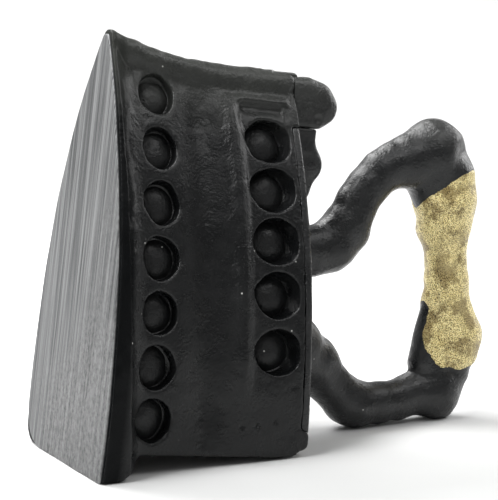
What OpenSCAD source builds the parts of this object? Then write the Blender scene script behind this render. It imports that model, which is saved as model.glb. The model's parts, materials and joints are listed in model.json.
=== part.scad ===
// Box iron for glowing charcoal, standing on its heel with the nose up.
// The sole faces -X, the handle faces +X, +Z is up, Y is the width. Units are millimetres.
// Most shapes are drawn in the sole's own axes: X is the distance from the sole face,
// Y is the width and Z is the distance from the heel. stand() then leans the whole iron.

/* [Sole] */
// Length of the sole from heel to tip
sole_len = 200; // [190:2:206]
// Widest part of the sole
sole_w = 96; // [90:1:100]
// Thickness of the ground sole plate
sole_t = 3.5; // [3:0.5:4]

/* [Body] */
// How far the wall stands in from the edge of the sole
wall_inset = 6; // [5.5:0.5:6.5]
// Depth from the sole face to the lid, measured at the heel
seat_depth = 103; // [102:0.2:104]
// Slope of the lid towards the nose, in degrees
seat_taper = 3; // [2.5:0.1:3.5]
// Radius of the lower draught recesses
lower_hole_r = 8.6; // [8:0.2:8.8]
// Radius of the upper draught recesses
upper_hole_r = 9.6; // [9:0.1:10]

/* [Lid and latch] */
// Thickness of the lid
lid_t = 4; // [3.5:0.5:4.5]
// Radius of the latch's rolled head
head_r = 11; // [10:0.5:11]
// Radius of the lid's thumb knob
knob_r = 11.5; // [10:0.5:12]

/* [Handle] */
// Radius of the front post
front_r = 11.7; // [10:0.1:12]
// Radius of the rear post
rear_r = 10.4; // [9:0.1:11]
// Radius of the grip at its waist
waist_r = 11.4; // [10:0.1:12]
// Radius of the grip at its two swells
swell_r = 17; // [15:0.5:18]

/* [Hidden] */
$fn = 64;
arc_fn = 360;
big = 300;
eps = 0.01;
left = -1;
right = 1;

// Stance: the heel edge and the rear corner of the handle touch the floor
lean = 7.19;
footprint_mid = 115.35;

// Outline of the sole: two equal arcs that would meet just past the blunt tip
wide_z = 30;
tip_cut = 4;
half_w = sole_w / 2;
arc_r = (pow(sole_len + tip_cut - wide_z, 2) + half_w * half_w) / (2 * half_w);
arc_y = arc_r - half_w;

// Base flange: an upright edge, then a hollow flare up to the wall
slab_top = 10;
flare_start = 11.5;
flare_h = 9.5;
flare_taper = 2;
flare_steps = 10;
heel_run = 12.4;

// Walls
inner_inset = 14.5;
heel_out = 11.4;
heel_wall = 7;
heel_tilt = 2.9;
heel_relief = 1.5;

// Channel below the lid, on both sides
channel_inset = 10.5;
channel_lo = -28.5;
channel_hi = -4.5;
channel_z0 = 47;
channel_z1 = 172;
bead_r = 2.6;
bead_v = -31;
rim_inset = 6.5;
rim_t = 4.5;

// Draught recesses and the domed studs that fill them
lower_n = 7;
lower_z0 = 29;
lower_pitch = 24.3;
lower_x = 24;
upper_z = [62, 87.5, 112, 135, 157];
upper_v = -14.5;
recess_depth = 5;
upper_recess = 2.5;
stud_base = 1;
dome_h = 3.4;
upper_dome_h = 5;

// Dowels between the sole plate and the base
dowel_r = 3;
dowel_x0 = 1.5;
dowel_x1 = 8;
dowel_at = [[42, 27], [122, 17]];

// Grate
grate_x = 30;
grate_t = 3;
grate_inset = 18;
grate_z0 = 30;
grate_z1 = 150;
slot_w = 7;
slot_gap = 15;
slot_n = 7;
slot_z0 = 42;
slot_half = [28, 27, 25, 22, 18, 14, 9];
foot_r = 4;
foot_at = [[36, 24], [142, 8]];

// Hinge at the heel
hinge_u = 21;
knuckle_r = 5;
trough_r = 5.3;
hinge_pin_r = 2.2;
run_fit = 0.05;
hinge_half = 27.3;
body_knuckle_y = [[-27.3, -15], [-6, 6], [15, 27.3]];
lid_knuckle_y = [[-14.7, -6.3], [6.3, 14.7]];
knuckle_lift = 0.3;
web_u = 2;

// Nose
post_r = 6;
post_z = 185.5;
lid_end = 166;
nose_gap = 0.6;
slot_half_y = 3.3;
slot_x = 82;
slot_z = 176;
pivot_x = 90;
pivot_z = 184;
latch_pin_r = 2.5;
eye_r = 5;
hook_half_y = 3;
hook_z0 = 167.6;
hook_z1 = 188.8;
web_gap = 0.4;
web_x = seat_depth - lid_end * tan(seat_taper) + lid_t + web_gap;
head_x = 112;
head_z = 178.6;
head_half_y = 7.5;
shank_z = 179.6;

// Lid furniture
knob_x = 108.2;
knob_z = 144.6;
knob_half_y = 7.5;
neck_half = 8;
catch_z0 = 157;
catch_x = 112.5;
catch_half_y = 6.5;
catch_round = 4;
shield_v = -9;
shield_t = 1.5;
shield_inset = 21;
shield_u0 = 36;
shield_u1 = 148;
spacer_r = 3;
spacer_in = 2;
spacer_at = [[58, 19], [122, 11]];

// Handle centre lines, as [distance from the sole, distance from the heel]
front_path = [[94, 106.5], [128, 107.5], [142, 131], [156, 149], [178, 156.5]];
front_ball = [186.5, 159];
front_ball_r = 16.5;
rear_path = [[94, 57], [123, 55], [149, 31.6], [178, 35.5], [192, 37]];
rear_ball_x = 203.5;
rear_ball_r = 14.5;
rear_ball_z = (rear_ball_r + rear_ball_x * sin(lean)) / cos(lean);
knuckle_swell = 1.06;
foot_flare_r = 15;
foot_flare_h = 5;
corner_r = 12.5;
front_foot = 106.5;
rear_foot = 57;
rivet_r = 5;
rivet_head_r = 8;
rivet_head_t = 2.5;
rivet_len = 22;

// Grip: a turned bone shape between two end faces
grip_a = [193.5, 143.5];
grip_b = [209, 54.5];
grip_len = norm(grip_b - grip_a);
grip_angle = atan2(grip_b[0] - grip_a[0], grip_a[1] - grip_b[1]);
end_r = 13.5;
swell_at = 11;
swell_fall = 22;
grip_steps = 30;
rod_r = 3.5;
rod_in = 11;

black = [0.06, 0.06, 0.065];
iron = [0.62, 0.63, 0.65];
gold = [0.78, 0.66, 0.33];
steel = [0.45, 0.45, 0.47];

// Leans the iron back and centres its footprint
module stand() {
  translate([-footprint_mid, 0, 0])
    rotate([0, lean, 0])
      children();
}

// Axes of the lid's seat: X rises away from the seat and Z runs along it from the heel
module seat() {
  translate([seat_depth, 0, 0])
    rotate([0, -seat_taper, 0])
      children();
}

// Everything above a level of the seat
module above_seat(level) {
  seat()
    translate([level, -big / 2, -big / 2])
      cube([big, big, 2 * big]);
}

// A cylinder across the iron, given as [X, Z], radius and half length
module cross(at, r, half) {
  translate([at[0], 0, at[1]])
    rotate([90, 0, 0])
      cylinder(r = r, h = 2 * half, center = true);
}

// A cylinder across the seat between two Y values
module seat_cross(r, span) {
  seat()
    translate([0, span[1], hinge_u])
      rotate([90, 0, 0])
        cylinder(r = r, h = span[1] - span[0]);
}

// A cylinder along X between two X values
module along_x(r, x0, x1) {
  translate([x0, 0, 0])
    rotate([0, 90, 0])
      cylinder(r = r, h = x1 - x0);
}

// The outline of the sole, drawn in by inset, as a prism along X
module outline(inset, x0, x1) {
  intersection() {
    intersection_for (side = [left, right])
      translate([0, side * arc_y, wide_z])
        along_x(arc_r - inset, x0, x1, $fn = arc_fn);
    translate([x0, -half_w, 0])
      cube([x1 - x0, sole_w, sole_len]);
  }
}

// The outline as a prism square to the seat
module seat_outline(inset, x0, x1) {
  seat()
    outline(inset, x0, x1);
}

// Space behind a leaning heel face
module ahead_of_heel(z0, tilt) {
  translate([0, 0, z0])
    rotate([0, -tilt, 0])
      translate([-big / 2, -big / 2, 0])
        cube([2 * big, big, big]);
}

// The floor's side of the heel is cut away, so the sole stands flat on it
module above_floor() {
  rotate([0, -lean, 0])
    translate([-big / 2, -big / 2, 0])
      cube([2 * big, big, 2 * big]);
}

// Moves to a point on the side wall, with Z pointing straight out of it
module on_wall(side, x, z, inset) {
  turn = asin((z - wide_z) / (arc_r - inset));
  translate([x, -side * arc_y, wide_z])
    rotate([side * turn, 0, 0])
      rotate([-side * 90, 0, 0])
        translate([0, 0, arc_r - inset])
          children();
}

// The flange's profile beside one arc: upright edge, then a hollow flare
module flare_profile() {
  points = [
    for (i = [0 : flare_steps])
      let (a = 90 * i / flare_steps)
        [arc_r - wall_inset * sin(a), flare_start + flare_h * (1 - cos(a))]
  ];
  polygon(concat([[0, -slab_top], [arc_r, -slab_top]], points, [[0, flare_start + flare_h]]));
}

// The same flare along the heel
module heel_profile() {
  points = [
    for (i = [0 : flare_steps])
      let (a = 90 * i / flare_steps)
        [flare_start + flare_h * (1 - cos(a)), heel_run * sin(a)]
  ];
  polygon(concat([[-slab_top, 0]], points, [[flare_start + flare_h, big], [-slab_top, big]]));
}

// Solid flange, before the wall's place is cut out of it
module flared_block() {
  rotate([0, -flare_taper, 0])
    intersection() {
      intersection_for (side = [left, right])
        translate([0, side * arc_y, wide_z])
          rotate([0, 90, 0])
            rotate_extrude($fn = arc_fn)
              flare_profile();
      translate([0, half_w + eps, 0])
        rotate([90, 0, 0])
          linear_extrude(2 * (half_w + eps))
            heel_profile();
      translate([-big / 2, -big / 2, 0])
        cube([big, big, sole_len]);
    }
}

// Outside of the body, from the slab up to the seat
module wall_block() {
  difference() {
    intersection() {
      outline(wall_inset, slab_top, big / 2);
      ahead_of_heel(heel_out, heel_tilt);
    }
    above_seat(0);
  }
}

// Slot in the nose for the latch
module latch_slot() {
  translate([slot_x, -slot_half_y, slot_z])
    cube([big / 10, 2 * slot_half_y, big / 10]);
}

// Dowel places under the base
module dowel_places() {
  for (at = dowel_at)
    for (side = [left, right])
      translate([0, side * at[1], at[0]])
        children();
}

// One stud: a short base with a low dome on it, from the bottom of its recess
module stud(r, depth, rise) {
  dome_r = (r * r + rise * rise) / (2 * rise);
  translate([0, 0, -depth]) {
    cylinder(r = r, h = stud_base);
    translate([0, 0, stud_base])
      intersection() {
        translate([0, 0, rise - dome_r])
          sphere(r = dome_r);
        cylinder(r = r, h = rise);
      }
  }
}

// Places of the lower row of recesses, on one side
module lower_places(side) {
  for (i = [0 : lower_n - 1]) {
    z = lower_z0 + i * lower_pitch;
    on_wall(side, lower_x, z, wall_inset)
      children();
  }
}

// Places of the upper row of recesses, on one side
module upper_places(side) {
  for (z = upper_z)
    on_wall(side, seat_depth + upper_v - z * tan(seat_taper), z, channel_inset)
      children();
}

// A round bar between two points of the middle plane
module bar(a, b, r) {
  span = b - a;
  translate([a[0], 0, a[1]])
    rotate([0, atan2(span[0], span[1]), 0])
      cylinder(r = r, h = norm(span));
}

// A bent round bar through a list of points
module bent_bar(path, r) {
  for (i = [0 : len(path) - 2])
    bar(path[i], path[i + 1], r);
  for (i = [1 : len(path) - 1])
    translate([path[i][0], 0, path[i][1]])
      sphere(r = r * knuckle_swell);
}

// Axes of the grip: Z runs from the front end to the rear end
module grip_axes() {
  translate([grip_a[0], 0, grip_a[1]])
    rotate([0, 180 - grip_angle, 0])
      children();
}

// Places of the four spacers that carry the heat shield
module spacer_places() {
  for (at = spacer_at)
    for (side = [left, right])
      seat()
        translate([0, side * at[1], at[0]])
          children();
}

// Places of the two rivets that hold the posts
module rivet_places() {
  for (z = [front_foot, rear_foot])
    seat()
      translate([0, 0, z])
        children();
}

module sole_plate() {
  color(iron)
    stand()
      difference() {
        intersection() {
          outline(0, 0, sole_t);
          above_floor();
        }
        dowel_places()
          along_x(dowel_r, dowel_x0, dowel_x1);
      }
}

module sole_dowels() {
  color(steel)
    stand()
      dowel_places()
        along_x(dowel_r, dowel_x0, dowel_x1);
}

module base_flange() {
  color(black)
    stand()
      difference() {
        intersection() {
          flared_block();
          above_floor();
          translate([sole_t, -big / 2, 0])
            cube(big);
        }
        wall_block();
        for (side = [left, right])
          lower_places(side)
            translate([0, 0, -recess_depth])
              cylinder(r = lower_hole_r, h = big / 10);
        dowel_places()
          along_x(dowel_r, dowel_x0, dowel_x1);
      }
}

module body_shell() {
  color(black)
    stand()
      difference() {
        union() {
          wall_block();
          difference() {
            intersection() {
              seat_outline(rim_inset, -rim_t, 0);
              ahead_of_heel(heel_out, heel_tilt);
            }
            translate([0, -big / 2, post_z - post_r])
              cube(big);
          }
        }
        intersection() {
          outline(inner_inset, slab_top - eps, big / 2);
          ahead_of_heel(heel_out + heel_wall, heel_tilt);
        }
        difference() {
          seat()
            translate([channel_lo, -half_w, channel_z0])
              cube([channel_hi - channel_lo, sole_w, channel_z1 - channel_z0]);
          outline(channel_inset, 0, big / 2);
        }
        for (side = [left, right]) {
          lower_places(side)
            translate([0, 0, -recess_depth])
              cylinder(r = lower_hole_r, h = big / 10);
          upper_places(side)
            translate([0, 0, -upper_recess])
              cylinder(r = upper_hole_r, h = big / 10);
        }
        seat_cross(trough_r, [-hinge_half, hinge_half]);
        seat()
          translate([-heel_relief, -big / 2, 0])
            cube([big, big, hinge_u]);
        latch_slot();
        cross([pivot_x, pivot_z], latch_pin_r, half_w);
      }
}

module ledge_beads() {
  color(black)
    stand()
      difference() {
        intersection() {
          seat()
            intersection_for (side = [left, right])
              translate([bead_v, side * arc_y, wide_z])
                rotate([0, 90, 0])
                  rotate_extrude($fn = arc_fn)
                    union() {
                      translate([arc_r - wall_inset, 0])
                        circle(r = bead_r);
                      translate([0, -bead_r])
                        square([arc_r - wall_inset, 2 * bead_r]);
                    }
          translate([0, -big / 2, channel_z0])
            cube([big, big, channel_z1 - channel_z0]);
        }
        outline(wall_inset, 0, big / 2);
      }
}

module lower_studs(side) {
  color(black)
    stand()
      lower_places(side)
        stud(lower_hole_r, recess_depth, dome_h);
}

module upper_studs(side) {
  color(black)
    stand()
      upper_places(side)
        stud(upper_hole_r, upper_recess, upper_dome_h);
}

module lower_studs_left() {
  lower_studs(left);
}

module lower_studs_right() {
  lower_studs(right);
}

module upper_studs_left() {
  upper_studs(left);
}

module upper_studs_right() {
  upper_studs(right);
}

module nose_post() {
  color(black)
    stand()
      difference() {
        intersection() {
          union() {
            translate([0, 0, post_z])
              along_x(post_r, slab_top, seat_depth);
            intersection() {
              seat_outline(rim_inset, -rim_t, lid_t);
              translate([0, -big / 2, lid_end + nose_gap])
                cube([big, big, post_z - lid_end]);
            }
          }
          rotate([0, -flare_taper, 0])
            translate([flare_start + flare_h, -big / 2, 0])
              cube(big);
        }
        above_seat(lid_t);
        wall_block();
        difference() {
          seat_outline(rim_inset, -rim_t, 0);
          translate([0, -big / 2, post_z - post_r])
            cube(big);
        }
        latch_slot();
        cross([pivot_x, pivot_z], latch_pin_r, half_w);
      }
}

module latch_pin() {
  color(steel)
    stand()
      intersection() {
        cross([pivot_x, pivot_z], latch_pin_r, half_w);
        translate([0, 0, post_z])
          along_x(post_r, slab_top, seat_depth);
      }
}

module ember_grate() {
  color(steel)
    stand()
      difference() {
        intersection() {
          outline(grate_inset, grate_x, grate_x + grate_t);
          translate([0, -big / 2, grate_z0])
            cube([big, big, grate_z1 - grate_z0]);
        }
        for (i = [0 : slot_n - 1])
          translate([grate_x - eps, -slot_half[i], slot_z0 + i * slot_gap])
            cube([grate_t + 2 * eps, 2 * slot_half[i], slot_w]);
      }
}

module grate_feet() {
  color(steel)
    stand()
      for (at = foot_at)
        for (side = [left, right])
          translate([0, side * at[1], at[0]])
            along_x(foot_r, slab_top, grate_x);
}

module body_knuckles() {
  color(black)
    stand()
      difference() {
        for (span = body_knuckle_y) {
          seat_cross(knuckle_r, span);
          difference() {
            seat_cross(trough_r, span);
            above_seat(-heel_relief);
          }
        }
        seat_cross(hinge_pin_r, [-hinge_half, hinge_half]);
      }
}

module hinge_pin() {
  color(steel)
    stand()
      seat_cross(hinge_pin_r, [-hinge_half, hinge_half]);
}

module lid_plate() {
  color(black)
    stand()
      difference() {
        intersection() {
          seat_outline(rim_inset, 0, lid_t);
          seat()
            translate([-big / 2, -big / 2, hinge_u])
              cube(big);
          translate([0, -big / 2, 0])
            cube([big, big, lid_end]);
        }
        seat_cross(trough_r, [-hinge_half, hinge_half]);
        rivet_places()
          along_x(rivet_r, -eps, rivet_len);
        spacer_places()
          along_x(spacer_r, -eps, spacer_in);
      }
}

module lid_knuckles() {
  color(black)
    stand()
      difference() {
        for (span = lid_knuckle_y) {
          seat_cross(knuckle_r, span);
          intersection() {
            seat_cross(trough_r, span);
            seat()
              translate([knuckle_lift, -half_w, hinge_u + web_u])
                cube([lid_t - knuckle_lift, sole_w, knuckle_r]);
          }
        }
        seat_cross(hinge_pin_r + run_fit, [-hinge_half, hinge_half]);
      }
}

module lid_knob() {
  color(black)
    stand()
      intersection() {
        union() {
          cross([knob_x, knob_z], knob_r, knob_half_y);
          translate([knob_x - 2 * knob_r, -knob_half_y, knob_z - neck_half])
            cube([2 * knob_r, 2 * knob_half_y, 2 * neck_half]);
        }
        above_seat(lid_t);
        translate([0, -big / 2, 0])
          cube([big, big, catch_z0]);
      }
}

module lid_catch() {
  color(black)
    stand()
      intersection() {
        union() {
          translate([seat_depth / 2, -catch_half_y, catch_z0])
            cube([catch_x - catch_round - seat_depth / 2, 2 * catch_half_y, lid_end - catch_z0]);
          cross([catch_x - catch_round, (catch_z0 + lid_end) / 2], catch_round, catch_half_y);
        }
        above_seat(lid_t);
      }
}

module heat_shield() {
  color(steel)
    stand()
      difference() {
        seat()
          intersection() {
            outline(shield_inset, shield_v, shield_v + shield_t);
            translate([-big / 2, -big / 2, shield_u0])
              cube([big, big, shield_u1 - shield_u0]);
          }
        spacer_places()
          along_x(spacer_r, 2 * shield_v, spacer_in);
      }
}

module shield_rivets() {
  color(steel)
    stand()
      spacer_places()
        along_x(spacer_r, shield_v - shield_t, spacer_in);
}

// One post: a bent bar with a flared foot, standing on the lid
module post(path, r, foot_z) {
  difference() {
    union() {
      bent_bar(path, r);
      seat()
        translate([0, 0, foot_z])
          along_x(foot_flare_r, lid_t, lid_t + foot_flare_h);
    }
    seat()
      translate([lid_t - big, -big / 2, -big / 2])
        cube([big, big, 2 * big]);
    rivet_places()
      along_x(rivet_r, -eps, rivet_len);
  }
}

module front_post() {
  color(black)
    stand()
      difference() {
        post(front_path, front_r, front_foot);
        front_corner_shape();
      }
}

// The block at the top corner, cut square to the grip
module front_corner_shape() {
  difference() {
    union() {
      translate([front_ball[0], 0, front_ball[1]])
        sphere(r = front_ball_r);
      bar(front_ball, grip_a + (grip_a - front_ball) / 2, corner_r);
    }
    grip_axes()
      translate([-half_w, -half_w, 0])
        cube(sole_w);
  }
}

// The block at the rear corner, which also touches the floor
module rear_corner_shape() {
  difference() {
    union() {
      translate([rear_ball_x, 0, rear_ball_z])
        sphere(r = rear_ball_r);
      bar([rear_ball_x, rear_ball_z], grip_b + (grip_b - [rear_ball_x, rear_ball_z]) / 2, corner_r);
    }
    grip_axes()
      translate([-half_w, -half_w, grip_len - sole_w])
        cube(sole_w);
  }
}

module front_corner() {
  color(black)
    stand()
      difference() {
        front_corner_shape();
        grip_axes()
          translate([0, 0, -rod_in])
            cylinder(r = rod_r, h = grip_len);
      }
}

module rear_post() {
  color(black)
    stand()
      difference() {
        post(rear_path, rear_r, rear_foot);
        rear_corner_shape();
      }
}

module rear_corner() {
  color(black)
    stand()
      difference() {
        rear_corner_shape();
        grip_axes()
          cylinder(r = rod_r, h = grip_len + rod_in);
      }
}

module post_rivets() {
  color(steel)
    stand()
      rivet_places() {
        along_x(rivet_r, -rivet_head_t, rivet_len);
        along_x(rivet_head_r, -rivet_head_t, 0);
      }
}

module tie_rod() {
  color(steel)
    stand()
      grip_axes()
        translate([0, 0, -rod_in])
          cylinder(r = rod_r, h = grip_len + 2 * rod_in);
}

// Radius of the grip at a distance from its nearer end
function grip_radius(from_end) =
  from_end < swell_at
    ? end_r + (swell_r - end_r) * sin(90 * from_end / swell_at)
    : from_end < swell_at + swell_fall
      ? waist_r + (swell_r - waist_r) * (1 + cos(180 * (from_end - swell_at) / swell_fall)) / 2
      : waist_r;

// Half outline of the grip, from its axis round to its axis again
function grip_profile() = concat(
  [[0, 0]],
  [
    for (i = [0 : grip_steps])
      let (s = grip_len * i / grip_steps)
        [grip_radius(min(s, grip_len - s)), s]
  ],
  [[0, grip_len]]
);

module grip() {
  color(gold)
    stand()
      grip_axes()
        difference() {
          rotate_extrude()
            polygon(grip_profile());
          translate([0, 0, -eps])
            cylinder(r = rod_r, h = grip_len + 2 * eps);
        }
}

module latch_hook() {
  color(black)
    stand()
      difference() {
        union() {
          cross([pivot_x, pivot_z], eye_r, hook_half_y);
          translate([pivot_x, -hook_half_y, shank_z])
            cube([head_x - pivot_x, 2 * hook_half_y, hook_z1 - shank_z]);
          translate([web_x, -hook_half_y, hook_z0])
            cube([head_x - web_x, 2 * hook_half_y, shank_z - hook_z0 + eps]);
          cross([head_x, head_z], head_r, head_half_y);
        }
        cross([pivot_x, pivot_z], latch_pin_r + run_fit, half_w);
      }
}

sole_plate();
sole_dowels();
base_flange();
body_shell();
ledge_beads();
lower_studs_left();
lower_studs_right();
upper_studs_left();
upper_studs_right();
nose_post();
latch_pin();
ember_grate();
grate_feet();
body_knuckles();
hinge_pin();
lid_plate();
lid_knuckles();
lid_knob();
lid_catch();
heat_shield();
shield_rivets();
front_post();
front_corner();
rear_post();
rear_corner();
post_rivets();
tie_rod();
grip();
latch_hook();
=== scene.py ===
import json
import math

import bpy
import numpy as np
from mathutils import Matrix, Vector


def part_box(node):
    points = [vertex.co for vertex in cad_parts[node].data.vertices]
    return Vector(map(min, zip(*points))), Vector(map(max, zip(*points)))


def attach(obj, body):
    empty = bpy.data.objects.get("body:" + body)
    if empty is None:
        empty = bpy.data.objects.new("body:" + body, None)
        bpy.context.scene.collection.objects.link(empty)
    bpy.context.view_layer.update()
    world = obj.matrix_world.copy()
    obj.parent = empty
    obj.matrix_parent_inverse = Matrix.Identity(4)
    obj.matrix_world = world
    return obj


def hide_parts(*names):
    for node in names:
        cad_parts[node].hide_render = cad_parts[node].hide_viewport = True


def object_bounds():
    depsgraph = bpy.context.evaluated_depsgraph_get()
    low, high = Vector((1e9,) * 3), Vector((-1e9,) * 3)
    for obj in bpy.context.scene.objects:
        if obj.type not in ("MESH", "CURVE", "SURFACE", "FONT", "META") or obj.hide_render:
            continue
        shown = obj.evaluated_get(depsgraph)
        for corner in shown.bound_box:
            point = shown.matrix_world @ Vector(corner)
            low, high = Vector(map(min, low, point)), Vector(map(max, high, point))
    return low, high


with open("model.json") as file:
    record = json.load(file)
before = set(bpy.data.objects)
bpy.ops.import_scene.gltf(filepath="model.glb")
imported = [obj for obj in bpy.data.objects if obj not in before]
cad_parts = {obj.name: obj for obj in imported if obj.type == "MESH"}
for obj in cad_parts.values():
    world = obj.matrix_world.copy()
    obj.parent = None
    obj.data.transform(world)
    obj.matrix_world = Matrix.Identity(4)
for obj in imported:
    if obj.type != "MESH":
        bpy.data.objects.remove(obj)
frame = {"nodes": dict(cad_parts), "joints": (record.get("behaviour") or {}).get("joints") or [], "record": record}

import openvdb
from mathutils import Vector

cad_low, cad_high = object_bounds()
MM = 0.001

# ---------------------------------------------------------------- the iron's own axes
# D runs from the sole face to the handle, Y across, N from the heel to the nose, in millimetres.
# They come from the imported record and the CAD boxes.
mounts = {m["name"]: m for m in frame["record"]["mounts"]}
joints = {j["name"]: j for j in frame["joints"]}
sole_low, sole_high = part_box("sole_plate")
out = -Vector(mounts["sole_face"]["axis"]).normalized()
LEAN = math.atan2(-out.z, out.x)
C, S = math.cos(LEAN), math.sin(LEAN)
HEEL = Vector((sole_low.x, 0, sole_low.z))
SOLE_LEN = round((sole_high.z - sole_low.z) / C / MM)
SOLE_HALF = round((sole_high.y - sole_low.y) / 2 / MM)


def to_world(p):
    """Points in the iron's own millimetres, as an array of rows, to the frame's metres."""
    d, y, n = p[:, 0] * MM, p[:, 1] * MM, p[:, 2] * MM
    return np.stack([HEEL.x + d * C + n * S, y, HEEL.z - d * S + n * C], 1)


def to_own(v):
    x, z = (v[0] - HEEL.x) / MM, (v[2] - HEEL.z) / MM
    return x * C - z * S, v[1] / MM, x * S + z * C


def own_box(node):
    co = np.array([v.co for v in frame["nodes"][node].data.vertices])
    d, y, n = to_own(co.T)
    return np.array([d.min(), y.min(), n.min()]), np.array([d.max(), y.max(), n.max()])


# ---------------------------------------------------------------- solid shapes as distance fields
def smin(a, b, k):
    h = np.clip(0.5 + 0.5 * (b - a) / k, 0, 1)
    return b + (a - b) * h - k * h * (1 - h)


def smax(a, b, k):
    return -smin(-a, -b, k)


def ease(x, a, b):
    t = np.clip((x - a) / (b - a), 0, 1)
    return t * t * (3 - 2 * t)


def bump(x, mid, half):
    return np.exp(-((x - mid) / half) ** 2)


def capsule(p, a, b, ra, rb, flat=1.0):
    """A tapered bar between two points. flat above 1 makes it narrower across Y."""
    d, y, n = p
    a, b = np.asarray(a, np.float32), np.asarray(b, np.float32)
    ab = b - a
    t = np.clip(((d - a[0]) * ab[0] + (n - a[2]) * ab[2]) / (ab[0] ** 2 + ab[2] ** 2 + 1e-6), 0, 1)
    q = np.sqrt((d - a[0] - t * ab[0]) ** 2 + (flat * (y - a[1])) ** 2 + (n - a[2] - t * ab[2]) ** 2)
    return q - (ra + (rb - ra) * t)


def round_edge(a, b, r):
    """Where two faces meet, with a round of radius r between them."""
    return np.hypot(np.maximum(a + r, 0), np.maximum(b + r, 0)) - r


def chain(p, stations, k, flat=1.0):
    f = None
    for (d0, n0, r0), (d1, n1, r1) in zip(stations, stations[1:]):
        g = capsule(p, (d0, 0, n0), (d1, 0, n1), r0, r1, flat)
        f = g if f is None else smin(f, g, k)
    return f


LATTICE = 24
BAND = 3.0
SLAB = 24


def lattice(seed, size):
    return np.random.default_rng(seed).uniform(-1, 1, (size, size, size)).astype(np.float32)


def noise(p, scale, seed):
    """Smooth noise in -1 to 1, with a feature size of about scale millimetres."""
    size = LATTICE
    grid = lattice(seed, size)
    cell = []
    frac = []
    for c in p:
        c = c / scale + 1000.0
        i = np.floor(c).astype(np.int32)
        f = (c - i).astype(np.float32)
        cell.append(i % size)
        frac.append(f * f * (3 - 2 * f))
    total = 0
    for i in (0, 1):
        for j in (0, 1):
            for k in (0, 1):
                w = (frac[0] if i else 1 - frac[0]) * (frac[1] if j else 1 - frac[1])
                w = w * (frac[2] if k else 1 - frac[2])
                total = total + w * grid[(cell[0] + i) % size, (cell[1] + j) % size, (cell[2] + k) % size]
    return total


def build(name, field, low, high, voxel, body, material, nodes):
    """Samples a field over a box, takes its surface as quads and makes one piece of it."""
    low, high = np.array(low, float), np.array(high, float)
    shape = np.ceil((high - low) / voxel).astype(int) + 1
    axes = [low[i] + voxel * np.arange(shape[i]) for i in range(3)]
    values = np.empty(shape, np.float32)
    for i in range(0, shape[0], SLAB):
        p = np.meshgrid(axes[0][i:i + SLAB], axes[1], axes[2], indexing="ij")
        values[i:i + SLAB] = field([c.astype(np.float32) for c in p])
    values[0], values[-1] = BAND, BAND
    values[:, 0], values[:, -1] = BAND, BAND
    values[:, :, 0], values[:, :, -1] = BAND, BAND
    grid = openvdb.FloatGrid(BAND)
    grid.copyFromArray(np.clip(values, -BAND, BAND))
    points, quads = grid.convertToQuads(0.0)
    points = to_world(points * voxel + low)
    mesh = bpy.data.meshes.new(name)
    mesh.vertices.add(len(points))
    mesh.vertices.foreach_set("co", points.astype(np.float32).ravel())
    mesh.loops.add(quads.size)
    mesh.loops.foreach_set("vertex_index", quads[:, ::-1].ravel().astype(np.int32))
    mesh.polygons.add(len(quads))
    mesh.polygons.foreach_set("loop_start", np.arange(0, quads.size, 4, dtype=np.int32))
    mesh.polygons.foreach_set("use_smooth", np.ones(len(quads), bool))
    mesh.update(calc_edges=True)
    mesh.validate()
    obj = bpy.data.objects.new(name, mesh)
    bpy.context.scene.collection.objects.link(obj)
    mesh.materials.append(material)
    smooth = obj.modifiers.new("soften", "SMOOTH")
    smooth.factor = 0.5
    smooth.iterations = 1 if body == "latch" else 2
    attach(obj, body)
    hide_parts(*nodes)
    return obj


# ---------------------------------------------------------------- measures taken from the CAD
WIDE_N = 30.0
TIP_CUT = 4.0
ARC = ((SOLE_LEN + TIP_CUT - WIDE_N) ** 2 + SOLE_HALF ** 2) / (2 * SOLE_HALF)
ARC_Y = ARC - SOLE_HALF
lid_low, lid_high = own_box("lid_plate")
hinge_d, _, hinge_n = to_own(joints["lid_hinge"]["pos_m"])
pivot_d, _, pivot_n = to_own(joints["latch_pivot"]["pos_m"])
TAPER = math.radians(3)
SEAT0 = hinge_d + hinge_n * math.tan(TAPER)
VOX = 0.75
SOLE_VOX = 0.55


def far_swell(y, n):
    """The far side stands out a little near the nose."""
    return 2.0 * bump(n, 140, 45) * ease(y, 0, 12)


def inset(p, round_tip=2.0):
    """How far a point is inside the sole's outline."""
    d, y, n = p
    side = np.sqrt(y * y + round_tip ** 2) - round_tip * 0.5
    arcs = ARC - np.hypot(side + ARC_Y, n - WIDE_N) + far_swell(y, n)
    return -smax(-arcs, n - SOLE_LEN, 1.5)


def above_seat(p):
    d, y, n = p
    return (d - SEAT0 + n * math.tan(TAPER)) * math.cos(TAPER)


def warp(p, amount, scale, seed):
    """Moves the sampling points a little, so edges run unevenly as in a hand-made mould."""
    return [c + amount * noise(p, scale, seed + i) for i, c in enumerate(p)]


# ---------------------------------------------------------------- materials
def material(name):
    m = bpy.data.materials.new(name)
    m.use_nodes = True
    nodes, links = m.node_tree.nodes, m.node_tree.links
    nodes.clear()
    output = nodes.new("ShaderNodeOutputMaterial")
    shader = nodes.new("ShaderNodeBsdfPrincipled")
    links.new(shader.outputs[0], output.inputs[0])
    place = nodes.new("ShaderNodeTexCoord")
    return m, nodes, links, shader, place.outputs["Object"]


def own_coordinates(nodes, links, coord):
    """The iron's own axes inside a material: a vector and its split parts, in metres."""
    turned = nodes.new("ShaderNodeMapping")
    turned.inputs["Rotation"].default_value = (0, -LEAN, 0)
    turned.inputs["Location"].default_value = (-HEEL.x * C, 0, 0)
    links.new(coord, turned.inputs["Vector"])
    split = nodes.new("ShaderNodeSeparateXYZ")
    links.new(turned.outputs[0], split.inputs[0])
    return turned.outputs[0], split.outputs


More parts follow.
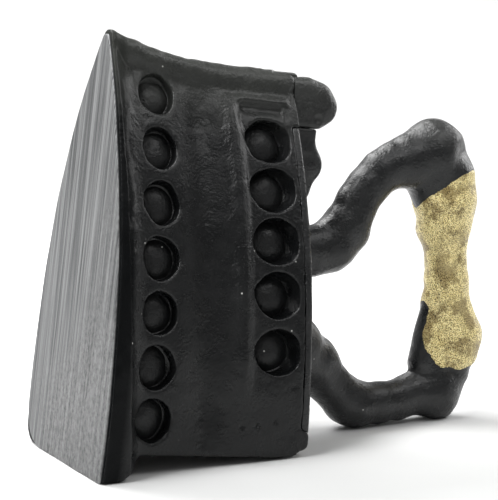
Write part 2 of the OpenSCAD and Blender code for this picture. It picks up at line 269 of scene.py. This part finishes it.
def tex_noise(nodes, links, coord, scale, detail=4.0, rough=0.5):
    n = nodes.new("ShaderNodeTexNoise")
    n.inputs["Scale"].default_value = scale
    n.inputs["Detail"].default_value = detail
    n.inputs["Roughness"].default_value = rough
    links.new(coord, n.inputs["Vector"])
    return n.outputs["Fac"]


def tex_cells(nodes, links, coord, scale):
    v = nodes.new("ShaderNodeTexVoronoi")
    v.inputs["Scale"].default_value = scale
    links.new(coord, v.inputs["Vector"])
    return v.outputs["Distance"]


def ramp(nodes, links, value, *stops):
    r = nodes.new("ShaderNodeValToRGB")
    while len(r.color_ramp.elements) < len(stops):
        r.color_ramp.elements.new(0.5)
    for element, (at, colour) in zip(r.color_ramp.elements, stops):
        element.position = at
        element.color = (*colour, 1) if isinstance(colour, tuple) else (colour, colour, colour, 1)
    links.new(value, r.inputs["Fac"])
    return r.outputs["Color"]


def mix(nodes, links, factor, a, b, blend="MIX"):
    m = nodes.new("ShaderNodeMix")
    m.data_type = "RGBA"
    m.blend_type = blend
    for socket, value in ((m.inputs[0], factor), (m.inputs[6], a), (m.inputs[7], b)):
        if isinstance(value, bpy.types.NodeSocket):
            links.new(value, socket)
        elif socket.type == "RGBA":
            socket.default_value = (*value, 1) if isinstance(value, tuple) else (value, value, value, 1)
        else:
            socket.default_value = value
    return m.outputs[2]


def math_node(nodes, links, kind, a, b):
    m = nodes.new("ShaderNodeMath")
    m.operation = kind
    for socket, value in zip(m.inputs, (a, b)):
        if isinstance(value, bpy.types.NodeSocket):
            links.new(value, socket)
        else:
            socket.default_value = value
    return m.outputs[0]


def bump_node(nodes, links, height, strength, distance, normal=None):
    b = nodes.new("ShaderNodeBump")
    b.inputs["Strength"].default_value = strength
    b.inputs["Distance"].default_value = distance
    links.new(height, b.inputs["Height"])
    if normal is not None:
        links.new(normal, b.inputs["Normal"])
    return b.outputs["Normal"]


def black_paint(name, lift=1.0, dull=0.0, shine=0.42):
    m, nodes, links, shader, coord = material(name)
    _, (off_sole, _, off_heel) = own_coordinates(nodes, links, coord)
    cloud = tex_noise(nodes, links, coord, 45, 5, 0.6)
    grain = tex_noise(nodes, links, coord, 700, 3, 0.6)
    leather = tex_cells(nodes, links, coord, 520)
    deep = tuple(lift * c for c in (0.004, 0.0045, 0.005))
    pale = tuple(lift * c for c in (0.010, 0.0105, 0.011))
    base = ramp(nodes, links, cloud, (0.3, deep), (0.75, pale))
    specks = ramp(nodes, links, tex_cells(nodes, links, coord, 130), (0.0, 1.0), (0.045, 1.0), (0.06, 0.0))
    rare = ramp(nodes, links, tex_noise(nodes, links, coord, 60, 2), (0.54, 0.0), (0.60, 1.0))
    dust = math_node(nodes, links, "MULTIPLY", specks, rare)
    # Sharp edges are painted lighter grey: partly rubbed paint, partly a painted highlight along the edges.
    edges = nodes.new("ShaderNodeNewGeometry").outputs["Pointiness"]
    rubbed_edges_and_highlight = ramp(nodes, links, edges, (0.58, 0.0), (0.66, 0.4))
    base = mix(nodes, links, rubbed_edges_and_highlight, base, (0.10, 0.10, 0.098))
    # Towards the nose end, the top as the iron stands, the paint turns lighter grey: a painted sheen standing in
    # for the broad reflection there.
    high = math_node(nodes, links, "ADD", off_heel, math_node(nodes, links, "MULTIPLY", cloud, 0.03))
    painted_sheen_at_nose_end = ramp(nodes, links, high, (0.160, 0.0), (0.195, 0.8))
    base = mix(nodes, links, painted_sheen_at_nose_end, base, (0.040, 0.042, 0.038))
    links.new(mix(nodes, links, dust, base, (0.42, 0.42, 0.40)), shader.inputs["Base Color"])
    gloss = tex_noise(nodes, links, coord, 120, 4)
    links.new(ramp(nodes, links, gloss, (0.35, 0.20 + dull), (0.65, 0.42 + dull)), shader.inputs["Roughness"])
    lit = ramp(nodes, links, math_node(nodes, links, "MULTIPLY", off_sole, 10.0), (0.075, 0.08), (0.115, 1.0))
    shining = math_node(nodes, links, "MULTIPLY", lit, shine - 0.8 * dull)
    links.new(shining, shader.inputs["Specular IOR Level"])
    shader.inputs["Coat Weight"].default_value = 0.12 - 0.4 * dull
    shader.inputs["Coat Roughness"].default_value = 0.14
    pits = ramp(nodes, links, tex_cells(nodes, links, coord, 170), (0.0, 0.0), (0.13, 1.0))
    normal = bump_node(nodes, links, leather, 0.12, 0.0005)
    normal = bump_node(nodes, links, grain, 0.55, 0.0008, normal)
    normal = bump_node(nodes, links, tex_noise(nodes, links, coord, 160, 3), 0.20, 0.0008, normal)
    normal = bump_node(nodes, links, mix(nodes, links, rare, 1.0, pits), 0.5, 0.0008, normal)
    links.new(normal, shader.inputs["Normal"])
    return m


def ground_iron(name):
    m, nodes, links, shader, coord = material(name)
    own, (off_sole, across, off_heel) = own_coordinates(nodes, links, coord)
    stretch = nodes.new("ShaderNodeMapping")
    stretch.inputs["Scale"].default_value = (1, 1, 0.012)
    links.new(own, stretch.inputs["Vector"])
    fine = tex_noise(nodes, links, stretch.outputs[0], 1500, 3, 0.6)
    wide = tex_noise(nodes, links, stretch.outputs[0], 330, 4, 0.6)
    cloud = tex_noise(nodes, links, coord, 22, 4, 0.55)
    tone = mix(nodes, links, 0.5, fine, wide)
    colour = ramp(nodes, links, tone, (0.40, (0.025, 0.027, 0.029)), (0.48, (0.115, 0.119, 0.121)),
                  (0.58, (0.275, 0.28, 0.282)))
    colour = mix(nodes, links, 0.2, colour, ramp(nodes, links, cloud, (0.3, 0.10), (0.7, 0.20)))
    corner = math_node(nodes, links, "ADD", math_node(nodes, links, "MULTIPLY", across, -5.0),
                       math_node(nodes, links, "MULTIPLY", off_heel, -4.0))
    rough = ramp(nodes, links, math_node(nodes, links, "ADD", corner, cloud), (0.22, 0.0), (0.50, 1.0))
    pitted = ramp(nodes, links, tex_noise(nodes, links, coord, 420, 5, 0.65), (0.38, 0.045), (0.58, 0.22))
    colour = mix(nodes, links, math_node(nodes, links, "MULTIPLY", rough, 0.45), colour, pitted)
    behind = math_node(nodes, links, "MULTIPLY", off_sole, 200.0)
    painted = ramp(nodes, links, behind, (0.10, 0.0), (0.16, 1.0))
    links.new(mix(nodes, links, painted, colour, (0.015, 0.016, 0.017)), shader.inputs["Base Color"])
    shader.inputs["Metallic"].default_value = 0.30
    shader.inputs["Roughness"].default_value = 0.55
    normal = bump_node(nodes, links, fine, 0.45, 0.0006)
    normal = bump_node(nodes, links, wide, 0.30, 0.0010, normal)
    hammered = mix(nodes, links, rough, 0.5, tex_noise(nodes, links, coord, 300, 4, 0.6))
    normal = bump_node(nodes, links, hammered, 0.8, 0.0012, normal)
    links.new(normal, shader.inputs["Normal"])
    return m


def gilt_paint(name):
    m, nodes, links, shader, coord = material(name)
    grit = tex_noise(nodes, links, coord, 1900, 2, 0.6)
    blotch = tex_noise(nodes, links, coord, 95, 5, 0.65)
    patch = tex_noise(nodes, links, coord, 60, 3, 0.5)
    gold = ramp(nodes, links, grit, (0.39, (0.07, 0.05, 0.012)), (0.48, (0.72, 0.55, 0.19)),
                (0.58, (1.0, 0.90, 0.50)))
    dark = ramp(nodes, links, blotch, (0.43, 1.0), (0.53, 0.0))
    tarnish = math_node(nodes, links, "MULTIPLY", dark, 0.9)
    gold = mix(nodes, links, tarnish, gold, (0.34, 0.29, 0.20), "MULTIPLY")
    gold = mix(nodes, links, ramp(nodes, links, patch, (0.5, 0.0), (0.75, 0.3)), gold, (0.78, 0.66, 0.33))
    links.new(gold, shader.inputs["Base Color"])
    shader.inputs["Metallic"].default_value = 0.30
    shader.inputs["Coat Weight"].default_value = 0.35
    shader.inputs["Coat Roughness"].default_value = 0.25
    links.new(ramp(nodes, links, grit, (0.3, 0.36), (0.7, 0.60)), shader.inputs["Roughness"])
    normal = bump_node(nodes, links, grit, 0.6, 0.0005)
    normal = bump_node(nodes, links, blotch, 0.3, 0.0010, normal)
    links.new(normal, shader.inputs["Normal"])
    return m


def worn_steel(name):
    m, nodes, links, shader, coord = material(name)
    cloud = tex_noise(nodes, links, coord, 120, 5, 0.6)
    colour = ramp(nodes, links, cloud, (0.3, (0.10, 0.10, 0.105)), (0.7, (0.30, 0.30, 0.31)))
    links.new(colour, shader.inputs["Base Color"])
    shader.inputs["Metallic"].default_value = 0.85
    links.new(ramp(nodes, links, cloud, (0.3, 0.35), (0.7, 0.6)), shader.inputs["Roughness"])
    scuffs = tex_noise(nodes, links, coord, 900, 3)
    links.new(bump_node(nodes, links, scuffs, 0.2, 0.0004), shader.inputs["Normal"])
    return m


BLACK = black_paint("black_paint")
# The walls take a darker copy of the black paint (lift 0.7): painted shade.
WALL_PAINT_WITH_SHADE = black_paint("black_paint_with_painted_shade_on_walls", 0.7, 0.0, 0.27)
# The domes in the recesses take the same darker copy, made rougher too: painted shade in the recesses.
RECESS_PAINT_WITH_SHADE = black_paint("black_paint_with_painted_shade_in_recesses", 0.7, 0.12)
IRON = ground_iron("ground_iron")
GILT = gilt_paint("gilt_paint")
STEEL = worn_steel("worn_steel")
for node, obj in frame["nodes"].items():
    kind = STEEL if obj.data.materials and "steel" in obj.data.materials[0].name else BLACK
    for slot in obj.material_slots:
        slot.material = kind

# ---------------------------------------------------------------- sole plate
flange_low, flange_high = own_box("base_flange")
SOLE_T = flange_low[0]
HEEL_ROUND, FAR_ROUND = 0.6, 20.0


def heel_limit(d):
    return d * math.tan(LEAN)


def sole_field(p):
    d, y, n = q = warp(p, 0.45, 17, 11)
    edge = -inset(q, 0.8) + 0.15
    corner = smax(edge, heel_limit(d) - n, HEEL_ROUND)
    far = smax(edge, heel_limit(d) - n, FAR_ROUND)
    f = corner + (far - corner) * ease(y, 10, 34)
    return np.maximum(smax(f, -p[0], 0.4), p[0] - SOLE_T)


# ---------------------------------------------------------------- casting: base, walls and nose
FLARE_END = 21.0
WRAP = 0.9
WALL_INSET, RIM_INSET, INNER = 6.0, 6.1, 15.2
HEEL_OUT, HEEL_SLOPE, HEEL_RUN, HEEL_WALL = 11.4, math.tan(math.radians(2.9)), 12.4, 7.0
HEEL_FACE = 6.0
LID_TOP = 4.2
LID_END = 166.2
NOSE_TOP = 4.35
CAVITY_FLOOR = 10.0
BLOWHOLES = [(70, 27.5), (78, 28), (87, 29.5)]
BLOWHOLE_R = 1.15
STUDS_APART = 3.0
LOWER_R, LOWER_DEEP = 8.9, 5.2
UPPER_R, UPPER_DEEP, UPPER_FLARE = 9.6, 7.5, 2.3
RING_R = 12.4
SWING_R = 8.0
SLOT_HALF = 3.3
KNUCKLES_HALF = 27.3
KNUCKLE_CLEAR = 5.3
# the nose's crest, as D, N and radius
NOSE_KEEL = [(3, 197.2, 4.0), (13, 193.6, 4.8), (24, 190.2, 5.0), (45, 186.8, 5.2), (75, 185.5, 5.4),
             (98, 185.8, 5.5)]


def wall_spots(node, level):
    """Centre and outward direction of each stud, from the CAD solids of one node."""
    obj = frame["nodes"][node]
    own = np.stack(to_own(np.array([v.co for v in obj.data.vertices]).T), 1)
    spots = []
    for n in np.sort(own[:, 2]):
        if not spots or n > spots[-1][1] + STUDS_APART:
            spots.append([n, n])
        spots[-1][1] = n
    found = []
    for n0, n1 in spots:
        inside = own[(own[:, 2] >= n0) & (own[:, 2] <= n1)]
        middle = (inside.min(0) + inside.max(0)) / 2
        side = 1 if middle[1] > 0 else -1
        turn = math.atan2(middle[2] - WIDE_N, abs(middle[1]) + ARC_Y)
        normal = np.array([0.0, side * math.cos(turn), math.sin(turn)])
        face = ARC - level
        across = side * (face * math.cos(turn) - ARC_Y)
        found.append((np.array([middle[0], across, WIDE_N + face * math.sin(turn)]), normal))
    return found


lower_spots = {side: wall_spots("lower_studs_" + side, WALL_INSET) for side in ("left", "right")}
upper_spots = {side: wall_spots("upper_studs_" + side, WALL_INSET) for side in ("left", "right")}


def around(p, spot, stretch=1.0):
    """Distance from a spot's axis, and height along it."""
    centre, normal = spot
    d, y, n = (p[i] - centre[i] for i in range(3))
    height = y * normal[1] + n * normal[2]
    along = n * normal[1] - y * normal[2]
    return d, along / stretch, height


def near(p, spot, reach):
    return abs(p[0].mean() - spot[0][0]) < reach


def hinge_gap(p):
    """Distance from the cylinder that the hinge's knuckles turn in."""
    return np.hypot(p[0] - hinge_d, p[2] - hinge_n) - KNUCKLE_CLEAR


def wall_profile(q):
    """How far the casting's surface lies inside the sole's outline, from the flange to the rim."""
    d, y, n = q
    v = above_seat(q)
    edge = 14.6 - 0.125 * n + 0.00033 * n * n
    flare = np.clip((d - edge) / (FLARE_END - 0.03 * n - edge), 0, 1)
    out = 1 - (1 - flare) ** 1.8
    span = ease(n, 40, 52) * (1 - ease(n, 173, 177))
    waist = 4.0 * bump(v, -49, 10) * (1 - 0.6 * ease(n, 160, 180)) * ease(n, 8, 40)
    ledge = -2.2 * bump(v, -32.5, 4.0) * ease(n, 30, 60) * (1 - ease(n, 170, 182))
    sunk = 0.7 * ease(v, -29, -26) * (1 - ease(v, -4, -1.5)) * span
    bead = -1.2 * bump(n, 177.5, 1.9) * ease(v, -30, -26) + 1.0 * bump(n, 172.6, 2.4) * ease(v, -27, -25)
    return WALL_INSET * out + (waist + ledge + sunk + bead * (1 - ease(v, -2, 0))) * (flare >= 1)


def heel_face(q):
    """The casting's heel: sharp towards the near side, rounder towards the far side."""
    d, y, n = q
    cove = np.maximum(heel_limit(d), HEEL_RUN * np.clip((d - 8) / 12.5, 0, 1) ** 1.5)
    return smin(HEEL_OUT + HEEL_SLOPE * d, cove, 1.0) - n


def lower_recesses(f, p, q, rough):
    for spots in lower_spots.values():
        for spot in spots:
            if not near(p, spot, 40):
                continue
            a, b, h = around(q, spot, 1.12)
            pocket = smax(np.hypot(a, b) - LOWER_R + rough, -LOWER_DEEP - h, 1.5)
            f = smax(f, -smax(pocket, 1.5 - np.abs(q[1]), 0.5), 1.2)
    return f


def upper_recesses(f, p, q, rough):
    v = above_seat(q)
    for spots in upper_spots.values():
        for spot in spots:
            if not near(p, spot, 45):
                continue
            a, b, h = around(q, spot)
            mouth = np.clip((h + UPPER_DEEP) / 6, 0, 1.3)
            r = np.hypot(a - 1.0 * (mouth - 0.5), b * (1 + 0.14 * mouth))
            ring = np.hypot(r - RING_R, (h + 2.6) * 0.9) - 1.2
            f = smin(f, smax(ring, v + 4.0, 1.0), 1.2)
            pocket = smax((r - UPPER_R - UPPER_FLARE * mouth + rough) * 0.9, -UPPER_DEEP - h, 1.5)
            f = smax(f, -smax(pocket, v + 2.2, 2.5), 0.9)
    return f


def casting_field(p):
    q = warp(p, 0.45, 17, 11)
    d, y, n = q
    side = inset(q, 5.0)
    v = above_seat(q)
    f = wall_profile(q) - side
    heel = heel_face(q)
    hard = smax(f, heel, 2.5)
    soft = smax(f, heel, 11.0)
    f = hard + (soft - hard) * ease(y, 8, 34)
    f = np.maximum(f, round_edge(heel, v, HEEL_FACE))
    keel = np.maximum(chain(q, NOSE_KEEL, 2.0), above_seat(p) - NOSE_TOP)
    f = smin(f, keel, 6.0)
    top = smax(RIM_INSET - side, np.maximum(above_seat(p) - NOSE_TOP, -v - 4.5), 0.2)
    f = smin(f, smax(top, LID_END - p[2], 0.3), 0.8)
    rough = 0.5 * noise(p, 6.5, 21)
    f = lower_recesses(f, p, q, rough)
    f = upper_recesses(f, p, q, rough)
    off_wall = np.where(y < 0, (side - WALL_INSET) ** 2, 99)
    for pit_d, pit_n in BLOWHOLES:
        f = smax(f, BLOWHOLE_R - np.sqrt((d - pit_d) ** 2 + (n - pit_n) ** 2 + off_wall), 0.4)
    inside = INNER + far_swell(p[1], p[2]) - inset(p)
    cavity = np.maximum(np.maximum(inside, HEEL_OUT + HEEL_WALL + HEEL_SLOPE * d - n), CAVITY_FLOOR - p[0])
    f = np.maximum(f, -cavity)
    sweep = np.hypot(p[0] - pivot_d, p[2] - pivot_n) - SWING_R
    past_pivot = np.maximum(pivot_d - p[0], pivot_n - SWING_R - p[2])
    f = np.maximum(f, -np.maximum(np.abs(p[1]) - SLOT_HALF, np.minimum(sweep, past_pivot)))
    hinge = hinge_gap(p)
    f = np.maximum(f, -np.maximum(hinge, np.abs(p[1]) - KNUCKLES_HALF))
    beside = np.maximum(hinge + 0.3, KNUCKLES_HALF + 0.3 - np.abs(y))
    cheek = smax(beside, smax(RIM_INSET - side, v - LID_TOP, 1.5), 1.0)
    f = smin(f, cheek, 1.2)
    f = f + 0.22 * noise(p, 6.0, 31) + 0.10 * noise(p, 2.6, 41)
    return np.maximum(f, WRAP - p[0])


# ---------------------------------------------------------------- lid with its knob, catch and handle posts
# centre lines of the two posts and the grip, each station as D, N and radius
FRONT = [(94, 106.3, 11.8), (120, 106.3, 11.8), (131, 110, 12.8), (137.6, 118.5, 12.2),
         (142.3, 131.6, 10.6), (147.4, 140.5, 10.3), (153.6, 148, 10.2), (161.8, 152.2, 11.0),
         (171, 155, 13.6), (183, 160, 16.4), (192, 149, 14.4)]
REAR = [(94, 59, 21.0), (111, 58.5, 18.6), (127, 51.5, 13.4), (140.5, 39.8, 10.6),
        (148, 33.5, 11.4), (155, 31.2, 11.2), (168, 32.2, 10.1), (179, 34.2, 10.2),
        (188, 37.6, 10.8), (200, 38.2, 13.6)]
GRIP = [(192, 149, 14.4), (193.4, 136, 15.4), (194.4, 124, 13.6), (197.0, 115, 10.7), (198.4, 106, 10.4),
        (200.0, 96, 11.0), (201.4, 86, 11.6), (205.2, 77, 12.5), (209.3, 69.5, 13.1), (209.8, 61, 12.0)]
GRIP_SIDE = 165
FAR_OFF = 400


def handle_field(p):
    q = warp(p, 0.7, 14, 71)
    d, y, n = q
    posts = smin(chain(q, FRONT, 3.0, 1.12), chain(q, REAR, 3.0, 1.12), 4.0)
    facet = 0.60 * (d - 186) + 0.80 * np.abs(y) - 11.8
    posts = smax(posts, np.where(n > 145, facet, -20.0), 1.5)
    posts = smax(posts, 0.72 * d + 0.69 * n - 258.6, 2.5)
    shoulder = capsule(q, (185, 0, 147), (192.5, 0, 136), 14.0, 15.0, 1.15)
    grip = smin(chain(q, GRIP, 2.5, 1.05), shoulder, 2.0)
    elbow = capsule(q, (200.5, 0, 38.2), (211, 0, 49.5), 12.8, 8.2, 1.15)
    strip = capsule(q, (190.2, 0, 54), (192.8, 0, 86), 6.6, 5.2, 0.9)
    web = capsule(q, (197, 0, 46), (199, 0, 62), 9.0, 8.0, 1.0)
    f = smin(smin(posts, grip, 3.0), smin(elbow, smin(strip, web, 3.0), 3.0), 3.0)
    notch = np.hypot(d - 196.5, n - 21.0) - 3.2
    f = smax(f, -notch, 2.5)
    return f + 0.32 * noise(p, 7.0, 81) + 0.12 * noise(p, 2.8, 91)


def gilt_region(p):
    """Below zero where the handle is gilt: the boundary is a painted edge."""
    d, y, n = warp(p, 1.2, 7, 55)
    top = -0.545 * (d - 176.8) + 0.838 * (n - 131.5) - 0.59 * np.abs(y)
    ball = (np.hypot((d + 0.5 * np.abs(y) - 208.5) / 18.5, (n - 69) / 17.0) - 1) * 18
    shaft = np.maximum(69 - n, 190.5 - 0.5 * np.abs(y) - 20 * ease(n, 82, 94) - d)
    return np.maximum(top, np.minimum(ball, shaft))


def lid_field(p):
    q = warp(p, 0.45, 17, 11)
    d, y, n = q
    v = above_seat(q)
    plate = smax(RIM_INSET - inset(q, 5.0), v - LID_TOP, 1.8)
    close = 0.15 * (np.abs(p[1]) > KNUCKLES_HALF)
    f = np.maximum(np.maximum(plate, hinge_n - n), -hinge_gap(p) - close)
    knob = smin(capsule(q, (104, 0, 150), (110.3, 0, 148), 8.0, 9.3, 1.1),
                capsule(q, (104, 0, 136), (106.5, 0, 136.5), 7.0, 8.0, 1.1), 5.0)
    knob = smax(knob, np.abs(y) - 7.6, 3.0)
    catch = smax(smax(156 - n, np.abs(y) - 6.4, 2.5), d - 112.8, 3.0)
    f = smax(smin(f, smin(knob, catch, 6.0), 2.5), p[2] - 166.0, 0.2)
    f = smin(f, handle_field(p), 5.0 * ease(130 - d, 0, 20) + 0.01)
    gilt = gilt_region(p) + 2.0 + FAR_OFF * (d < GRIP_SIDE)
    f = np.maximum(f, -gilt)
    return np.maximum(f, 0.05 - above_seat(p))


def grip_field(p):
    return np.maximum(handle_field(p) - 0.15, gilt_region(p) + FAR_OFF * (p[0] < GRIP_SIDE))


HOOK = [(97, 183.2, 7.2), (106, 182.6, 7.3), (112.3, 179.7, 8.7), (114.6, 176.4, 9.3)]
EYE_R, EYE_HALF, EYE_END = 5.0, 3.0, 96
WEB_HALF, WEB_END, WEB_LOW = 3.1, 100, 179.5
HOOK_LOW = 166.1


def hook_field(p):
    q = warp(p, 0.35, 12, 61)
    d, y, n = q
    off_pin = np.hypot(p[0] - pivot_d, p[2] - pivot_n)
    eye = np.maximum(np.maximum(off_pin - EYE_R, np.abs(p[1]) - EYE_HALF), d - EYE_END)
    outline = chain(q, HOOK, 2.0)
    outline = smin(outline, np.hypot(d - 111.5, n - 171.2) - 5.4, 3.0)
    outline = smin(outline, smax(np.abs(n - 173) - 7.0, np.abs(d - 104) - 6.5, 1.0), 2.0)
    thick = 6.6 + 0.9 * bump(outline, -2.6, 1.5) * ease(d, 104, 112)
    head = smax(outline, np.abs(y) - thick, 3.0) + 0.15 * noise(p, 5.0, 66)
    head = np.maximum(np.maximum(head, HOOK_LOW - p[2]), NOSE_TOP + 0.05 - above_seat(p))
    web = np.maximum(chain(p, NOSE_KEEL, 2.0) - 0.6, np.abs(p[1]) - WEB_HALF)
    web = np.maximum(web, np.minimum(off_pin - SWING_R + 0.2, pivot_d - p[0]))
    web = np.maximum(np.maximum(web, p[0] - WEB_END), WEB_LOW - p[2])
    return np.minimum(np.minimum(eye, head), web)


low_y, high_y = flange_low[1] - 3, flange_high[1] + 3
beyond_grip = SEAT0 + 130
build("sole", sole_field, (-3, low_y, -3), (SOLE_T + 3, high_y, SOLE_LEN + 4), SOLE_VOX,
      "body", IRON, ["sole_plate"])
build("casting", casting_field, (SOLE_T - 3, low_y, -3), (SEAT0 + 8, high_y, SOLE_LEN + 4), VOX,
      "body", WALL_PAINT_WITH_SHADE, ["base_flange", "body_shell", "ledge_beads", "nose_post"])
build("lid_casting", lid_field, (lid_low[0] - 4, lid_low[1] - 3, 2), (beyond_grip, lid_high[1] + 3, 184),
      VOX, "lid", BLACK,
      ["lid_plate", "lid_knob", "lid_catch", "front_post", "front_corner", "rear_post", "rear_corner"])
build("gilt_grip", grip_field, (GRIP_SIDE, -24, 30), (beyond_grip, 24, 170), VOX * 0.8,
      "lid", GILT, ["grip"])
build("hook", hook_field, (76, -12, 160), (130, 12, 196), VOX * 0.7,
      "latch", BLACK, ["latch_hook"])


# ---------------------------------------------------------------- domes in the recesses
def domes(name, node, spots, radius, stretch, base, top):
    """A row of low domes on the floors of the recesses, one piece for each side and row."""
    ball = (radius ** 2 + (top - base) ** 2) / (2 * (top - base))

    def field(p):
        f = np.full(p[0].shape, 9.0, np.float32)
        q = warp(p, 0.5, 9, 101 + len(name))
        for spot in spots:
            a, b, h = around(q, spot, stretch)
            cap = np.sqrt(a * a + b * b + (h - top + ball) ** 2) - ball
            f = np.minimum(f, smax(cap, base - 1.2 - h, 0.6))
        return f + 0.20 * noise(p, 4.0, 111) + 0.08 * noise(p, 1.8, 112)
    low, high = own_box(node)
    return build(name, field, low - 4, high + 4, VOX * 0.8, "body", RECESS_PAINT_WITH_SHADE, [node])


for side in ("left", "right"):
    domes("lower_domes_" + side, "lower_studs_" + side, lower_spots[side], 8.3, 1.12, -5.2, -2.4)
    domes("upper_domes_" + side, "upper_studs_" + side, upper_spots[side], 10.0, 1.0, -7.5, -3.2)

# ---------------------------------------------------------------- floor, light and camera
def studio_paper():
    m, nodes, links, shader, coord = material("studio_paper")
    split = nodes.new("ShaderNodeSeparateXYZ")
    links.new(coord, split.inputs[0])
    # The paper grades from pale grey at the back to darker grey at the front: painted shade on the floor.
    depth = math_node(nodes, links, "ADD", math_node(nodes, links, "MULTIPLY", split.outputs[1], 1.2), 0.5)
    paper_tone_with_painted_shade = ramp(nodes, links, depth, (0.36, (0.50, 0.505, 0.50)), (0.62, (0.78, 0.78, 0.78)))
    mottle = ramp(nodes, links, tex_noise(nodes, links, coord, 14, 3), (0.3, 0.97), (0.7, 1.0))
    links.new(mix(nodes, links, 1.0, paper_tone_with_painted_shade, mottle, "MULTIPLY"), shader.inputs["Base Color"])
    shader.inputs["Roughness"].default_value = 0.9
    return m


CAMERA_AZ, CAMERA_EL = math.radians(-26.59), math.radians(8.25)
CAMERA_AWAY, AIM_X, AIM_Z = 0.9631, -0.0169, 0.0934
SWEEP_FRONT, SWEEP_BACK, SWEEP_R, SWEEP_TOP, SWEEP_HALF = -1.6, 0.9, 0.7, 2.4, 2.4
rows = [(SWEEP_FRONT, 0.0)]
for a in np.radians(np.linspace(0, 90, 14)):
    rows.append((SWEEP_BACK + SWEEP_R * math.sin(a), SWEEP_R - SWEEP_R * math.cos(a)))
rows.append((SWEEP_BACK + SWEEP_R, SWEEP_TOP))
turn = math.radians(26.6)
verts, faces = [], []
for along, up in rows:
    for across in (-SWEEP_HALF, SWEEP_HALF):
        x = across * math.cos(turn) + along * math.sin(turn)
        verts.append((x, -across * math.sin(turn) + along * math.cos(turn), up))
for i in range(len(rows) - 1):
    faces.append((2 * i, 2 * i + 1, 2 * i + 3, 2 * i + 2))
mesh = bpy.data.meshes.new("studio_sweep")
mesh.from_pydata(verts, [], faces)
for poly in mesh.polygons:
    poly.use_smooth = True
floor = bpy.data.objects.new("studio_sweep", mesh)
floor.location.z = cad_low.z
mesh.materials.append(studio_paper())
bpy.context.scene.collection.objects.link(floor)

world = bpy.data.worlds.new("studio")
bpy.context.scene.world = world
world.use_nodes = True
world.node_tree.nodes["Background"].inputs[0].default_value = (1.0, 1.0, 1.0, 1)
world.node_tree.nodes["Background"].inputs[1].default_value = 0.28

bpy.context.scene.view_settings.view_transform = "Standard"

centre = (cad_low + cad_high) / 2


def area(name, azimuth, elevation, distance, size, power):
    data = bpy.data.lights.new(name, "AREA")
    data.shape = "RECTANGLE"
    data.size, data.size_y = size
    data.energy = power
    light = bpy.data.objects.new(name, data)
    a, e = math.radians(azimuth), math.radians(elevation)
    away = Vector((math.sin(a) * math.cos(e), -math.cos(a) * math.cos(e), math.sin(e)))
    light.location = centre + away * distance
    light.rotation_euler = (-away).to_track_quat("-Z", "Y").to_euler()
    bpy.context.scene.collection.objects.link(light)


area("key", -78, 42, 1.1, (0.45, 0.5), 9)
area("back", 195, 52, 1.4, (0.9, 0.8), 20)
area("over", -120, 76, 1.1, (0.5, 0.4), 9)
area("front_top", 30, 52, 1.2, (1.0, 0.4), 4)
area("right", 100, 22, 1.3, (0.7, 0.8), 7)

camera_data = bpy.data.cameras.new("camera")
camera = bpy.data.objects.new("camera", camera_data)
bpy.context.scene.collection.objects.link(camera)
bpy.context.scene.camera = camera
toward = Vector((-math.sin(CAMERA_AZ) * math.cos(CAMERA_EL), math.cos(CAMERA_AZ) * math.cos(CAMERA_EL),
                 -math.sin(CAMERA_EL)))
aim = Vector((centre.x + AIM_X, centre.y, AIM_Z))
camera.location = aim - toward * CAMERA_AWAY
camera.rotation_euler = toward.to_track_quat("-Z", "Y").to_euler()
camera_data.sensor_width = 36
camera_data.lens = 144
camera_data.clip_start, camera_data.clip_end = 0.05, 20
